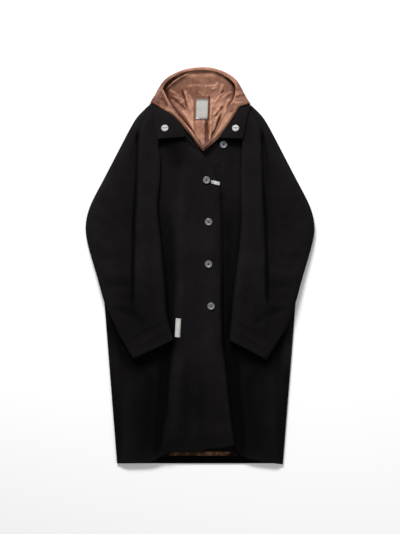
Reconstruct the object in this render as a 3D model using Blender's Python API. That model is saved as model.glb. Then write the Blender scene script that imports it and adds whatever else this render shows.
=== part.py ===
"""A hooded balmacaan coat, laid flat on its back with the front buttoned.

The frame: +X to the viewer's right, +Y from the hem towards the hood, +Z up from the surface
that the coat lies on. The coat faces up, so the wearer's right side is at -X.
Sizes below are millimetres; MM turns them into metres.
"""

import math

import bmesh
import bpy
from mathutils import Vector

MM = 0.001

# ---------------------------------------------------------------- driving dimensions (mm)
WALL = 2.5              # wool cloth with its lining
THIN = 1.2              # nylon and label cloth
SEAT = 0.5              # air between a sheet and the one it lies on
SEAM = 0.3              # air between two pieces at a seam

HEM_Y = -592.0          # back hem
NECK_Y = 484.0          # back neck seam
HEM_HALF = 249.0        # half the body's width at the hem
UNDERARM_X = 303.0
UNDERARM_Y = 94.0
BACK_NECK_HALF = 92.0
FRONT_NECK_X = 118.0    # where the front raglan seam ends, hidden under the sleeve's fold
FRONT_NECK_Y = 406.0
EDGE_HIDDEN_X = -25.0   # hidden edge of the under front
LAP_EASE = 12.0         # how far past that edge the upper front stays clear of it
OVERLAP_LIFT = 13.0     # how far the upper front's edge turns down
BODY_LOFT = 14.0        # height of the front where the sleeves lie on it
RECESS_LOFT = 10.5      # height of the front in the hollow beside the sleeves
PANEL_LOFT = 31.0       # height of the buttoned panel
NECK_LOFT = 31.0        # height of the fronts at the neck
ROLL_LOFT = 6.0         # soft roll along the panel's left side
SIDE_SEAM_RISE = 34.0   # breadth over which the front rises from the side seam
HEM_TURN = 12.0         # breadth over which a hem turns down
SLEEVE_RAMP = 16.0      # breadth over which a sleeve's underside climbs the body's edge
SLEEVE_SEAT = 1.2       # air under a sleeve, which lies loosely on the front
NECK_EASE = 1.5         # and more of it where the sleeve's cap rises to the neck

BUTTON_RADIUS = 11.0
BUTTON_THICK = 3.4
BUTTON_DISH = 1.1
HOLE_RADIUS = 1.2
HOLE_SPREAD = 2.6

WALK_OUT = 0.18         # share of a walk round a sleeve from the back seam to the outer fold
WALK_OVER = 0.80        # and to the inner fold
SEAM_HALF = 0.0025      # half the underarm seam's air, as a share of the sleeve's breadth

FOLD_RISE = 4.5         # height of a sleeve's folds above its underside
FOLD_BREADTH = 8.0      # breadth over which the underside rises to a fold
TOP_BREADTH = 26.0      # and over which the top does
SLEEVE_DEPTH = 7.0      # least height of a sleeve's top above its underside
PLEAT_BREADTH = 0.09    # share of the sleeve's breadth that the pleat's step takes
PLEAT_DIP = 3.5         # depth of the hollow along the pleat

HOOD_CENTRE = (9.0, 475.0)
HOOD_WALL = 1.6
HOOD_INSET = 1.0        # how far the hood's middle surface lies inside the outline
HOOD_FLOOR = 3.7        # height where it lies over the collar's band
HOOD_THROAT = 30.0      # height where it comes up to the bottom of the neck opening
HOOD_BEND_RADIUS = 13.0
HOOD_FOOT = 0.5         # share of the way from the hood's centre to the foot of its wall
HOOD_BEND = 0.84        # and to where the wall has turned over

LABEL_WALL = 1.0


# ---------------------------------------------------------------- tables
def columns(names, rows):
    """A short table as one list for each named column."""
    return {name: [row[i] for row in rows] for i, name in enumerate(names.split())}


# The upper front's free edge, from the hem to the bottom of the neck opening.
FRONT_EDGE = columns("y x", [
    (-552.0, 106.0), (-311.0, 79.0), (-134.0, 66.0), (100.0, 66.0),
    (199.0, 66.0), (244.0, 60.0), (274.0, 45.0), (304.0, 28.0), (341.0, 12.0),
])

# The neck opening's two sides, from its bottom up.
NECK_LEFT = columns("y x", [(341.0, 12.0), (358.0, -7.5), (391.0, -34.0), (406.0, -46.0)])
NECK_RIGHT = columns("y x", [
    (330.0, -2.0), (341.0, 10.0), (361.0, 30.0), (378.0, 50.0), (390.0, 66.0), (406.0, 78.0),
])

# Hollows beside the buttoned panel: bottom of the hollow, and top of the panel's side.
HOLLOW_LEFT = columns("y valley panel", [
    (-592.0, -133.0, -113.0), (-449.0, -118.0, -97.0), (-311.0, -103.0, -82.0),
    (-221.0, -95.0, -72.0), (-146.0, -91.0, -67.0), (-26.0, -87.0, -62.0), (184.0, -99.0, -66.0),
    (340.0, -105.0, -60.0),
])
HOLLOW_RIGHT = columns("y valley side", [
    (-592.0, 128.0, 150.0), (-449.0, 115.0, 136.0), (-311.0, 100.0, 121.0), (-146.0, 84.0, 106.0),
    (-26.0, 84.0, 108.0), (184.0, 94.0, 124.0), (340.0, 92.0, 128.0),
])

# How far the hem stands above the side hem across each front (0 at the side seam, 1 at the edge).
HEM_RIGHT_SIDE = columns("across rise", [
    (0.0, 0.0), (0.30, 2.0), (0.36, 12.0), (0.40, 36.0), (0.50, 41.0), (0.80, 43.0),
    (0.90, 46.0), (1.0, 56.0),
])
HEM_LEFT_SIDE = columns("across rise", [
    (0.0, -3.0), (0.24, 6.0), (0.42, 14.0), (0.50, 30.0), (0.55, 50.0), (1.0, 50.0),
])

# Where a front's grid lines lie across it, closer together at the side, the hollow and the edge.
SPREAD_RIGHT = columns("grid place", [
    (0.0, 0.0), (0.05, 0.018), (0.15, 0.075), (0.25, 0.18), (0.40, 0.44), (0.50, 0.535),
    (0.75, 0.72), (0.90, 0.95), (1.0, 1.0),
])
SPREAD_LEFT = columns("grid place", [
    (0.0, 0.0), (0.06, 0.02), (0.2, 0.085), (0.32, 0.20), (0.5, 0.46), (0.85, 0.72), (1.0, 1.0),
])

# The right sleeve, from the neck to the cuff: ends of each section on the outer and inner fold,
# place of the lengthwise pleat across it, height of the top on both sides of the pleat, and
# place of the underarm seam on the underside of the closed part.
SLEEVE_RIGHT = columns("ox oy ix iy pleat outer_z inner_z seam", [
    (-152.0, 484.0, -82.0, 432.0, 0.20, 36.0, 41.0, 0.20),
    (-172.0, 465.0, -104.0, 402.0, 0.24, 34.0, 42.0, 0.20),
    (-194.0, 442.0, -128.0, 370.0, 0.30, 32.0, 42.0, 0.20),
    (-245.0, 345.0, -118.0, 315.0, 0.42, 29.0, 42.0, 0.20),
    (-292.0, 255.0, -120.0, 245.0, 0.54, 27.0, 41.0, 0.20),
    (-336.0, 169.0, -128.0, 180.0, 0.655, 26.0, 41.0, 0.20),
    (-345.0, 118.0, -121.0, 118.0, 0.665, 26.0, 41.0, 0.22),
    (-339.0, 72.0, -116.0, 75.0, 0.64, 27.0, 41.0, 0.27),
    (-319.0, 4.0, -110.0, 4.0, 0.56, 29.0, 41.0, 0.32),
    (-300.0, -62.0, -104.0, -62.0, 0.48, 31.0, 40.0, 0.35),
    (-288.0, -107.0, -102.0, -107.0, 0.45, 32.0, 39.0, 0.38),
    (-263.0, -160.0, -98.0, -150.0, 0.44, 33.0, 38.0, 0.43),
    (-240.0, -211.0, -88.0, -188.0, 0.44, 33.0, 36.0, 0.48),
    (-200.0, -278.0, -81.0, -221.0, 0.45, 34.0, 35.0, 0.53),
])
SLEEVE_LEFT = columns("ox oy ix iy pleat outer_z inner_z seam", [
    (152.0, 484.0, 104.0, 424.0, 0.20, 36.0, 41.0, 0.20),
    (172.0, 465.0, 116.0, 398.0, 0.24, 34.0, 42.0, 0.20),
    (194.0, 442.0, 128.0, 370.0, 0.30, 32.0, 42.0, 0.20),
    (245.0, 345.0, 124.0, 315.0, 0.42, 29.0, 42.0, 0.20),
    (292.0, 255.0, 122.0, 245.0, 0.54, 27.0, 41.0, 0.20),
    (336.0, 169.0, 123.0, 180.0, 0.645, 26.0, 41.0, 0.20),
    (345.0, 118.0, 122.0, 118.0, 0.650, 26.0, 41.0, 0.22),
    (339.0, 72.0, 119.0, 75.0, 0.62, 27.0, 41.0, 0.27),
    (319.0, 4.0, 111.0, 4.0, 0.56, 29.0, 41.0, 0.32),
    (300.0, -62.0, 103.0, -62.0, 0.47, 31.0, 40.0, 0.35),
    (288.0, -107.0, 98.0, -107.0, 0.42, 32.0, 39.0, 0.38),
    (270.0, -162.0, 94.0, -150.0, 0.40, 33.0, 38.0, 0.43),
    (241.0, -213.0, 91.0, -188.0, 0.40, 33.0, 36.0, 0.48),
    (198.0, -280.0, 88.0, -221.0, 0.42, 34.0, 35.0, 0.53),
])

# The hood seen from above, round its centre: outline, rim of the face opening, and rim height.
HOOD = columns("angle outline rim top", [
    (-89.0, 130.0, 117.0, 45.0), (-81.6, 113.0, 104.0, 46.0), (-66.0, 103.0, 80.0, 47.0),
    (-41.0, 91.0, 62.0, 48.0), (-21.0, 99.0, 62.0, 48.0), (-8.9, 103.5, 68.0, 48.0),
    (1.8, 113.5, 76.0, 48.0), (5.0, 138.0, 82.0, 46.0), (20.0, 131.0, 95.0, 42.0),
    (36.0, 127.0, 112.0, 34.0),
    (58.0, 123.0, 111.0, 27.0), (87.0, 121.5, 109.0, 24.0), (118.0, 130.0, 116.0, 26.0),
    (143.7, 141.0, 127.0, 32.0), (156.0, 143.0, 128.0, 38.0), (173.0, 155.0, 100.0, 46.0),
    (179.0, 144.0, 86.0, 48.0), (194.0, 95.0, 70.0, 48.0), (212.0, 84.0, 60.0, 48.0),
    (241.8, 89.5, 73.0, 47.0), (260.0, 113.0, 100.0, 46.0), (271.0, 130.0, 117.0, 45.0),
])

# The collar's two turned-down leaves, from the front end to the shoulder.
COLLAR_RIGHT = columns("ix iy iz ox oy oz", [
    (-45.0, 387.0, 41.2, -128.0, 380.0, 45.2), (-43.0, 401.0, 42.4, -131.0, 394.0, 45.2),
    (-55.0, 417.0, 44.1, -134.0, 411.0, 45.2), (-68.0, 434.0, 45.4, -137.0, 430.0, 45.2),
    (-85.0, 451.0, 45.4, -140.0, 448.0, 45.0), (-112.0, 465.0, 45.2, -145.0, 466.0, 43.8),
    (-140.0, 482.0, 44.0, -151.0, 483.0, 38.0),
])
COLLAR_LEFT = columns("ix iy iz ox oy oz", [
    (59.0, 383.5, 42.5, 128.0, 381.0, 45.2), (66.5, 395.0, 43.5, 131.0, 395.0, 45.2),
    (78.0, 410.0, 44.5, 134.0, 411.0, 45.2), (91.0, 427.0, 45.4, 137.0, 430.0, 45.2),
    (103.0, 445.0, 45.4, 140.0, 446.0, 45.0), (111.5, 459.0, 45.2, 144.0, 459.0, 44.2),
    (120.0, 472.0, 45.0, 148.0, 472.0, 42.5), (137.0, 480.5, 44.4, 151.0, 483.5, 38.0),
])

BUTTONS = columns("x y on", [
    (19.5, 257.5, "upper"), (25.5, 132.5, "upper"), (25.5, 6.0, "upper"), (33.0, -119.5, "upper"),
    (70.5, 364.0, "under"),
])


# ---------------------------------------------------------------- small functions
def slopes(keys, values):
    """Tangents that keep a curve through the points from overshooting."""
    steps = [(values[i + 1] - values[i]) / (keys[i + 1] - keys[i]) for i in range(len(keys) - 1)]
    inner = [0.0 if a * b <= 0 else 2 * a * b / (a + b) for a, b in zip(steps, steps[1:])]
    return [steps[0]] + inner + [steps[-1]]


def curve(keys, values):
    """A smooth function through a table's points, held level past both ends."""
    tangents = slopes(keys, values)

    def at(key):
        if key <= keys[0]:
            return values[0]
        if key >= keys[-1]:
            return values[-1]
        i = max(j for j in range(len(keys) - 1) if keys[j] <= key)
        span = keys[i + 1] - keys[i]
        t = (key - keys[i]) / span
        rise = values[i + 1] - values[i]
        bend_in = tangents[i] * span - rise
        bend_out = rise - tangents[i + 1] * span
        return values[i] + t * rise + t * (1 - t) * ((1 - t) * bend_in + t * bend_out)

    return at


def ease(t):
    t = min(max(t, 0.0), 1.0)
    return t * t * (3 - 2 * t)


def quarter(t):
    """Height of a quarter circle: 0 at its foot, 1 from its top on."""
    t = min(max(t, 0.0), 1.0)
    return math.sqrt(1 - (1 - t) ** 2)


def mix(a, b, t):
    return a + (b - a) * t


def bump(x, centre, breadth):
    return math.exp(-((x - centre) / breadth) ** 2)


# ---------------------------------------------------------------- outlines and heights
edge_x = curve(FRONT_EDGE["y"], FRONT_EDGE["x"])
neck_left_x = curve(NECK_LEFT["y"], NECK_LEFT["x"])
neck_right_x = curve(NECK_RIGHT["y"], NECK_RIGHT["x"])
valley_left = curve(HOLLOW_LEFT["y"], HOLLOW_LEFT["valley"])
panel_left = curve(HOLLOW_LEFT["y"], HOLLOW_LEFT["panel"])
valley_right = curve(HOLLOW_RIGHT["y"], HOLLOW_RIGHT["valley"])
side_right = curve(HOLLOW_RIGHT["y"], HOLLOW_RIGHT["side"])


def side_half(y):
    """Half width of the body at the side seams, below the underarm."""
    return mix(HEM_HALF, UNDERARM_X, (y - HEM_Y) / (UNDERARM_Y - HEM_Y))


def back_half(y):
    if y <= UNDERARM_Y:
        return side_half(y)
    return mix(UNDERARM_X, BACK_NECK_HALF, (y - UNDERARM_Y) / (NECK_Y - UNDERARM_Y))


def front_half(y):
    """Distance from the middle to the side seam, and above it to the raglan seam."""
    if y <= UNDERARM_Y:
        return side_half(y)
    return mix(UNDERARM_X, FRONT_NECK_X, (y - UNDERARM_Y) / (FRONT_NECK_Y - UNDERARM_Y))


def rise_to_neck(y):
    return ease((y - 130.0) / (FRONT_NECK_Y - 130.0))


def side_height(inset, y):
    """Middle surface of a front near its side: low on the back's edge, lofted further in."""
    seam = 2 * SEAM + WALL * 1.5 + 0.05 + mix(0.0, 20.0, rise_to_neck(y))
    loft = mix(BODY_LOFT, NECK_LOFT - 3.0, rise_to_neck(y))
    return mix(seam, loft, ease(inset / SIDE_SEAM_RISE))


def under_front_z(x, y):
    """Middle surface of the under front, on the wearer's left."""
    side = side_height(front_half(y) - x, y)
    recess = mix(RECESS_LOFT, NECK_LOFT - 5.0, ease((y - 150.0) / 150.0))
    t = ease((x - valley_right(y)) / (side_right(y) - valley_right(y)))
    return mix(recess, side, t)


def lap_z(x, y):
    """Least height of the upper front's middle surface, which is that over the under front."""
    if x <= EDGE_HIDDEN_X - LAP_EASE:
        return 0.0
    return under_front_z(max(x, EDGE_HIDDEN_X), y) + WALL + SEAT


def upper_front_z(x, y):
    """Middle surface of the upper front, on the wearer's right."""
    side = side_height(front_half(y) + x, y)
    recess = mix(RECESS_LOFT, NECK_LOFT - 3.0, ease((y - 150.0) / 150.0))
    valley, panel = valley_left(y), panel_left(y)
    outer = mix(side, recess, ease((x - (valley - 26.0)) / 26.0))
    top = mix(PANEL_LOFT, NECK_LOFT + 3.0, ease((y - 230.0) / 130.0))
    top += ROLL_LOFT * bump(x, panel + 10.0, 17.0) * ease((200.0 - y) / 150.0)
    z = mix(outer, top, ease((x - valley) / (panel - valley)))
    z -= OVERLAP_LIFT * (1 - quarter((edge_x(y) - x) / 11.0)) * ease((edge_x(y) - x + 40.0) / 10.0)
    return max(z, lap_z(x, y))


def front_top(x, y):
    """Middle surface of a front under a sleeve, taken at its highest within a finger's breadth."""
    height = upper_front_z if x < 0 else under_front_z
    row = min(y, FRONT_NECK_Y)
    return max(height(math.copysign(max(abs(x) + dx, 75.0), x), row) for dx in (-6.0, -3.0, 0.0, 3.0, 6.0))


def sleeve_low(x, y, over_front):
    """Middle surface of a sleeve's underside: on a front, or down on the bare surface."""
    lying = front_top(x, y) + WALL + SLEEVE_SEAT + NECK_EASE * rise_to_neck(y)
    past = abs(x) - front_half(y)
    climb = 1.0 if over_front else ease((SLEEVE_RAMP - past) / (SLEEVE_RAMP - 6.0))
    return mix(WALL / 2, lying, climb)


# ---------------------------------------------------------------- building
def material(name, colour, roughness, metallic=0.0):
    made = bpy.data.materials.new(name)
    made.use_nodes = True
    shader = made.node_tree.nodes["Principled BSDF"]
    shader.inputs["Base Color"].default_value = (*colour, 1.0)
    shader.inputs["Roughness"].default_value = roughness
    shader.inputs["Metallic"].default_value = metallic
    return made


def put(name, bm, finish):
    mesh = bpy.data.meshes.new(name)
    bm.to_mesh(mesh)
    bm.free()
    piece = bpy.data.objects.new(name, mesh)
    bpy.context.scene.collection.objects.link(piece)
    mesh.materials.append(finish)
    mesh.shade_smooth()
    return piece


def cloth(name, along, across, place, finish, wall=WALL, weld=False):
    """A sheet of cloth: a grid laid over place(u, v), given a wall of even thickness."""
    bm = bmesh.new()
    bmesh.ops.create_grid(bm, x_segments=along, y_segments=across, size=0.5)
    for vert in bm.verts:
        vert.co = Vector(place(vert.co.x + 0.5, vert.co.y + 0.5)) * MM
    if weld:
        bmesh.ops.remove_doubles(bm, verts=bm.verts, dist=0.0001)
    piece = put(name, bm, finish)
    thick = piece.modifiers.new("wall", "SOLIDIFY")
    thick.thickness = wall * MM
    thick.offset = 0.0
    thick.use_even_offset = False
    return piece


def hem_turn(z, distance):
    """Turn a sheet down as it nears its hem, and leave the hem open."""
    return mix(min(z, RECESS_LOFT), z, quarter((distance + 1.0) / HEM_TURN))


def make_back(wool):
    def place(u, v):
        y = mix(HEM_Y, NECK_Y, v)
        return (mix(-1, 1, u) * (back_half(y) - SEAM), y, WALL / 2)

    return cloth("back", 8, 12, place, wool)


def front_rows(v, hem_rise, fade=260.0):
    """Height along the coat of a grid row, with the hem's rise fading out above it."""
    y = mix(HEM_Y, FRONT_NECK_Y, v)
    return y + hem_rise * (1 - ease((y - HEM_Y) / fade)), y


def make_front_right(wool):
    rise = curve(HEM_RIGHT_SIDE["across"], HEM_RIGHT_SIDE["rise"])
    spread = curve(SPREAD_RIGHT["grid"], SPREAD_RIGHT["place"])

    def place(column, v):
        u = spread(column)
        y, row = front_rows(v, rise(u))
        inner = edge_x(y) if y < FRONT_EDGE["y"][-1] else neck_left_x(y)
        x = mix(-front_half(y), inner, u)
        return (x, y, max(hem_turn(upper_front_z(x, y), row - HEM_Y), lap_z(x, y)))

    return cloth("front_right", 20, 22, place, wool)


def make_front_left(wool):
    rise = curve(HEM_LEFT_SIDE["across"], HEM_LEFT_SIDE["rise"])
    spread = curve(SPREAD_LEFT["grid"], SPREAD_LEFT["place"])

    def place(column, v):
        u = spread(column)
        y, row = front_rows(v, rise(u))
        inner = EDGE_HIDDEN_X if y < NECK_RIGHT["y"][0] else neck_right_x(y)
        x = mix(front_half(y), inner, u)
        return (x, y, hem_turn(under_front_z(x, y), row - HEM_Y))

    return cloth("front_left", 15, 22, place, wool)


def ring_walk(v, back_w, front_w):
    """Place across a sleeve's section, and whether on top, on a walk round it.

    The walk starts at the back seam underneath, goes out to the outer fold, over the top to the
    inner fold, and back underneath to the front seam.
    """
    if v < WALK_OUT:
        return back_w * (1 + math.cos(math.pi * v / WALK_OUT)) / 2, False
    if v <= WALK_OVER:
        return (1 - math.cos(math.pi * (v - WALK_OUT) / (WALK_OVER - WALK_OUT))) / 2, True
    t = (v - WALK_OVER) / (1 - WALK_OVER)
    return 1 - (1 - front_w) * (1 - math.cos(math.pi * t)) / 2, False


def crossing(section, half, beyond):
    """Place across a section where it passes the outline half(y), or 1 where it never does."""
    low, high = 0.0, 1.0
    for _ in range(24):
        w = (low + high) / 2
        past = abs(mix(section["ox"], section["ix"], w)) - half(mix(section["oy"], section["iy"], w))
        low, high = (w, high) if past > beyond else (low, w)
    return min(high, 0.93)


def sleeve_point(table, u, v):
    rows = list(range(len(table["ox"])))
    section = {name: curve(rows, values)(u * (len(rows) - 1)) for name, values in table.items()}
    closed = ease((UNDERARM_Y + 20.0 - section["oy"]) / 60.0)
    back_w = mix(crossing(section, back_half, 2 * SEAM), section["seam"] - SEAM_HALF, closed)
    front_w = mix(crossing(section, front_half, -1.0), section["seam"] + SEAM_HALF, closed)
    w, on_top = ring_walk(v, back_w, front_w)
    x = mix(section["ox"], section["ix"], w)
    y = mix(section["oy"], section["iy"], w)
    width = math.hypot(section["ix"] - section["ox"], section["iy"] - section["oy"])
    inset = min(w, 1 - w) * width
    low = sleeve_low(x, y, w > front_w - 0.01)
    fold = low + FOLD_RISE
    if not on_top:
        return (x, y, fold - (fold - low) * quarter(inset / FOLD_BREADTH))
    step = ease((w - section["pleat"]) / PLEAT_BREADTH + 0.5)
    top = mix(section["outer_z"], section["inner_z"], step)
    top -= PLEAT_DIP * bump(w, section["pleat"] - PLEAT_BREADTH / 3, 0.035) * ease((0.95 - u) / 0.3)
    top = max(top, low + SLEEVE_DEPTH)
    return (x, y, fold + (top - fold) * quarter(inset / TOP_BREADTH))


def make_sleeve(name, table, wool):
    return cloth(name, 19, 26, lambda u, v: sleeve_point(table, u, v), wool)


def hood_shape(u):
    """Direction, outline, rim and rim height of the hood at a share u of the way round it."""
    rows = list(range(len(HOOD["angle"])))
    look = {name: curve(rows, values)(u * (len(rows) - 1)) for name, values in HOOD.items()}
    turn = math.radians(look["angle"])
    return Vector((math.cos(turn), math.sin(turn))), look["outline"] - HOOD_INSET, look["rim"], look["top"]


def hood_base(x, y):
    """Inside of the hood: over the collar's band, and up to the bottom of the neck opening."""
    flat = mix(HOOD_FLOOR, WALL / 2, ease((y - 535.0) / 30.0))
    return mix(flat, HOOD_THROAT, ease((400.0 - y) / 58.0))


def hood_point(u, v):
    """A point of the hood: its floor from the centre out, its wall, and its flap back to the rim."""
    ray, outline, rim, top = hood_shape(u)

    def floor(r):
        return hood_base(HOOD_CENTRE[0] + ray.x * r, HOOD_CENTRE[1] + ray.y * r)

    bend = min(HOOD_BEND_RADIUS, (top - floor(outline)) / 2, outline - rim + 2.0)
    if v < HOOD_FOOT:
        r = (outline - bend) * v / HOOD_FOOT
        z = floor(r)
    elif v < HOOD_BEND:
        turn = (v - HOOD_FOOT) / (HOOD_BEND - HOOD_FOOT) * math.pi
        r = outline - bend + bend * math.sin(turn)
        z = mix(floor(outline - bend) + bend, top - bend, ease(turn / math.pi)) - bend * math.cos(turn)
    else:
        r = mix(outline - bend, min(rim, outline - bend - 2.0), (v - HOOD_BEND) / (1 - HOOD_BEND))
        z = top
    return (HOOD_CENTRE[0] + ray.x * r, HOOD_CENTRE[1] + ray.y * r, z)


def make_hood(nylon):
    return cloth("hood", 2 * (len(HOOD["angle"]) - 1), 13, hood_point, nylon, wall=HOOD_WALL, weld=True)


def make_collar_leaf(name, table, wool):
    rows = list(range(len(table["ix"])))

    def place(u, v):
        look = {key: curve(rows, values)(v * (len(rows) - 1)) for key, values in table.items()}
        sag = 1.2 * math.sin(math.pi * u)
        return (mix(look["ix"], look["ox"], u), mix(look["iy"], look["oy"], u),
                mix(look["iz"], look["oz"], u) + sag)

    return cloth(name, 5, 8, place, wool)


def make_patch(name, centre, size, tilt, surface, finish, wall=THIN, cells=(3, 4), lift=0.0):
    """A flat trim laid on a surface, made from that surface's own points, moved out."""
    turn = math.radians(tilt)

    def place(u, v):
        a, b = (u - 0.5) * size[0], (v - 0.5) * size[1]
        x = centre[0] + a * math.cos(turn) - b * math.sin(turn)
        y = centre[1] + a * math.sin(turn) + b * math.cos(turn)
        return (x, y, surface(x, y) + WALL / 2 + SEAT + wall / 2 + lift)

    return cloth(name, cells[0], cells[1], place, finish, wall=wall)


def make_button(name, x, y, surface, finish):
    """A four-hole button with a raised rim, lying on a front."""
    profile = [(0.0, BUTTON_THICK - BUTTON_DISH), (BUTTON_RADIUS * 0.66, BUTTON_THICK - BUTTON_DISH),
               (BUTTON_RADIUS * 0.76, BUTTON_THICK), (BUTTON_RADIUS * 0.92, BUTTON_THICK),
               (BUTTON_RADIUS, BUTTON_THICK * 0.6), (BUTTON_RADIUS, BUTTON_THICK * 0.3),
               (BUTTON_RADIUS * 0.88, 0.0), (0.0, 0.0)]
    bm = bmesh.new()
    line = [bm.verts.new((r * MM, 0.0, z * MM)) for r, z in profile]
    edges = [bm.edges.new(pair) for pair in zip(line, line[1:])]
    bmesh.ops.spin(bm, geom=line + edges, cent=(0, 0, 0), axis=(0, 0, 1), angle=math.tau, steps=16)
    bmesh.ops.remove_doubles(bm, verts=bm.verts, dist=0.00001)
    bmesh.ops.recalc_face_normals(bm, faces=bm.faces)
    piece = put(name, bm, finish)
    slope_x = (surface(x + 8, y) - surface(x - 8, y)) / 16
    slope_y = (surface(x, y + 8) - surface(x, y - 8)) / 16
    normal = Vector((-slope_x, -slope_y, 1.0)).normalized()
    piece.rotation_mode = "QUATERNION"
    piece.rotation_quaternion = normal.to_track_quat("Z", "Y")
    seat = Vector((x, y, surface(x, y))) + normal * (WALL / 2 + SEAT + 0.3)
    piece.location = seat * MM
    cutters = bmesh.new()
    for i in range(4):
        turn = math.tau * (i + 0.5) / 4
        made = bmesh.ops.create_cone(cutters, cap_ends=True, segments=6, depth=12 * MM,
                                     radius1=HOLE_RADIUS * MM, radius2=HOLE_RADIUS * MM)
        bmesh.ops.translate(cutters, verts=made["verts"],
                            vec=Vector((math.cos(turn), math.sin(turn), 0)) * HOLE_SPREAD * MM)
    cutter = put(name + "_holes", cutters, finish)
    cutter.rotation_mode = "QUATERNION"
    cutter.rotation_quaternion = piece.rotation_quaternion
    cutter.location = piece.location
    cutter.hide_render = True
    cutter.display_type = "WIRE"
    cut = piece.modifiers.new("holes", "BOOLEAN")
    cut.operation = "DIFFERENCE"
    cut.object = cutter
    return piece


def main():
    for item in list(bpy.data.objects):
        bpy.data.objects.remove(item, do_unlink=True)
    wool = material("napped_wool", (0.012, 0.011, 0.012), 0.95)
    nylon = material("copper_nylon", (0.40, 0.20, 0.13), 0.42)
    horn = material("grey_button", (0.20, 0.20, 0.21), 0.40)
    woven = material("white_woven", (0.80, 0.80, 0.78), 0.70)

    make_back(wool)
    make_front_left(wool)
    make_front_right(wool)
    make_sleeve("sleeve_right", SLEEVE_RIGHT, wool)
    make_sleeve("sleeve_left", SLEEVE_LEFT, wool)
    make_collar_leaf("collar_right", COLLAR_RIGHT, wool)
    make_collar_leaf("collar_left", COLLAR_LEFT, wool)
    make_hood(nylon)

    def back_z(x, y):
        return WALL / 2

    def bare_surface_z(x, y):
        """Stands in for a sheet under the collar's band, which lies on the bare surface."""
        return -WALL / 2 - SEAT

    make_patch("collar_back", (0.0, NECK_Y + 15.0), (176.0, 26.0), 0.0, bare_surface_z, wool,
               wall=WALL, cells=(8, 2))
    make_patch("lining_hem", (0.0, -538.0), (226.0, 62.0), 0.0, back_z, nylon, cells=(10, 3))
    make_patch("neck_label", (6.0, 472.0), (36.0, 61.0), -2.0, hood_base, woven, wall=LABEL_WALL,
               lift=(HOOD_WALL - WALL) / 2 + 0.05)
    make_patch("label_bar", (46.0, 250.0), (26.0, 10.0), -14.0, upper_front_z, woven,
               wall=LABEL_WALL, lift=0.5)
    make_patch("label_tab", (-66.0, -184.0), (15.0, 56.0), -3.0, upper_front_z, woven,
               wall=LABEL_WALL, cells=(4, 6), lift=1.0)

    heights = {"upper": upper_front_z, "under": under_front_z}
    for i, (x, y, on) in enumerate(zip(BUTTONS["x"], BUTTONS["y"], BUTTONS["on"])):
        make_button(f"button_{i + 1}", x, y, heights[on], horn)


main()
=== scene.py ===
"""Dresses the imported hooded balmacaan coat: napped wool shells with their creases, a crinkled
copper nylon hood, woven labels, stitched edges and four-hole buttons."""
import math

import bmesh
import bpy
import numpy as np
from mathutils import Matrix, Vector
from mathutils.bvhtree import BVHTree


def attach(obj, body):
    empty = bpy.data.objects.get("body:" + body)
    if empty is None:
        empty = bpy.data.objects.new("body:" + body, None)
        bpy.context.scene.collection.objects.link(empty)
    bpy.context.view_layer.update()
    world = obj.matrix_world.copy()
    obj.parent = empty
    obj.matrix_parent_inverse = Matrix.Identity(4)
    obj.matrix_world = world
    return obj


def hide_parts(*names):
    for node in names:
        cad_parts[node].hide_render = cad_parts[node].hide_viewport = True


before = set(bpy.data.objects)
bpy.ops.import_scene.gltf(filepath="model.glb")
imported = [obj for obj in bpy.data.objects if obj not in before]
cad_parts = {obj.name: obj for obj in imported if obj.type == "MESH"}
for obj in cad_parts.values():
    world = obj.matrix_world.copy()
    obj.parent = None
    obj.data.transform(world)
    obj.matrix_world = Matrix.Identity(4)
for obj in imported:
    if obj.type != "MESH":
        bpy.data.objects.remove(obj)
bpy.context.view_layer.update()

MM = 0.001

# The camera: the photograph is 534 pixels high, and a pixel is 3 mm of the coat's plane.
PIXEL = 3 * MM
PHOTO_HIGH = 534
COAT_PLANE = 12 * MM  # height at which this scale holds
VIEW_DROP = 0.75 * PIXEL  # how far the photograph's middle lies below the coat's origin
LENS = 135
SENSOR = 36

# Lights: name, place, point faced, two sides and power, in metres and watts.
LIGHTS = [
    ("key", (-0.8, 3.3, 2.3), (0, -0.2, 0), (1.6, 1), 235),
    ("fill", (1.6, -1.2, 2.6), (0, 0, 0), (1.4, 1.4), 22),
]
ROOM_STRENGTH = 0.3
FLOOR_REACH = 4
FLOOR_DROP = 0.3 * MM  # keeps the floor and the coat's underside apart

# Colours as linear red, green and blue; stops go from a cloth's darkest to its lightest.
FLOOR_COLOUR = (0.93, 0.93, 0.93)
WOOL_STOPS = [(0.3, (0.004, 0.0034, 0.0036)), (0.55, (0.0071, 0.0059, 0.0062)),
              (0.8, (0.014, 0.0118, 0.0122))]
WOOL_LINT = (0.04, 0.036, 0.037)
# Painted shade: the wool's colour is blended towards this where shade is painted in.
WOOL_SHADE = (0.0013, 0.0012, 0.0013)
NYLON_STOPS = [(0.25, (0.205, 0.09, 0.055)), (0.5, (0.31, 0.148, 0.094)),
               (0.78, (0.425, 0.225, 0.15))]
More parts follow.
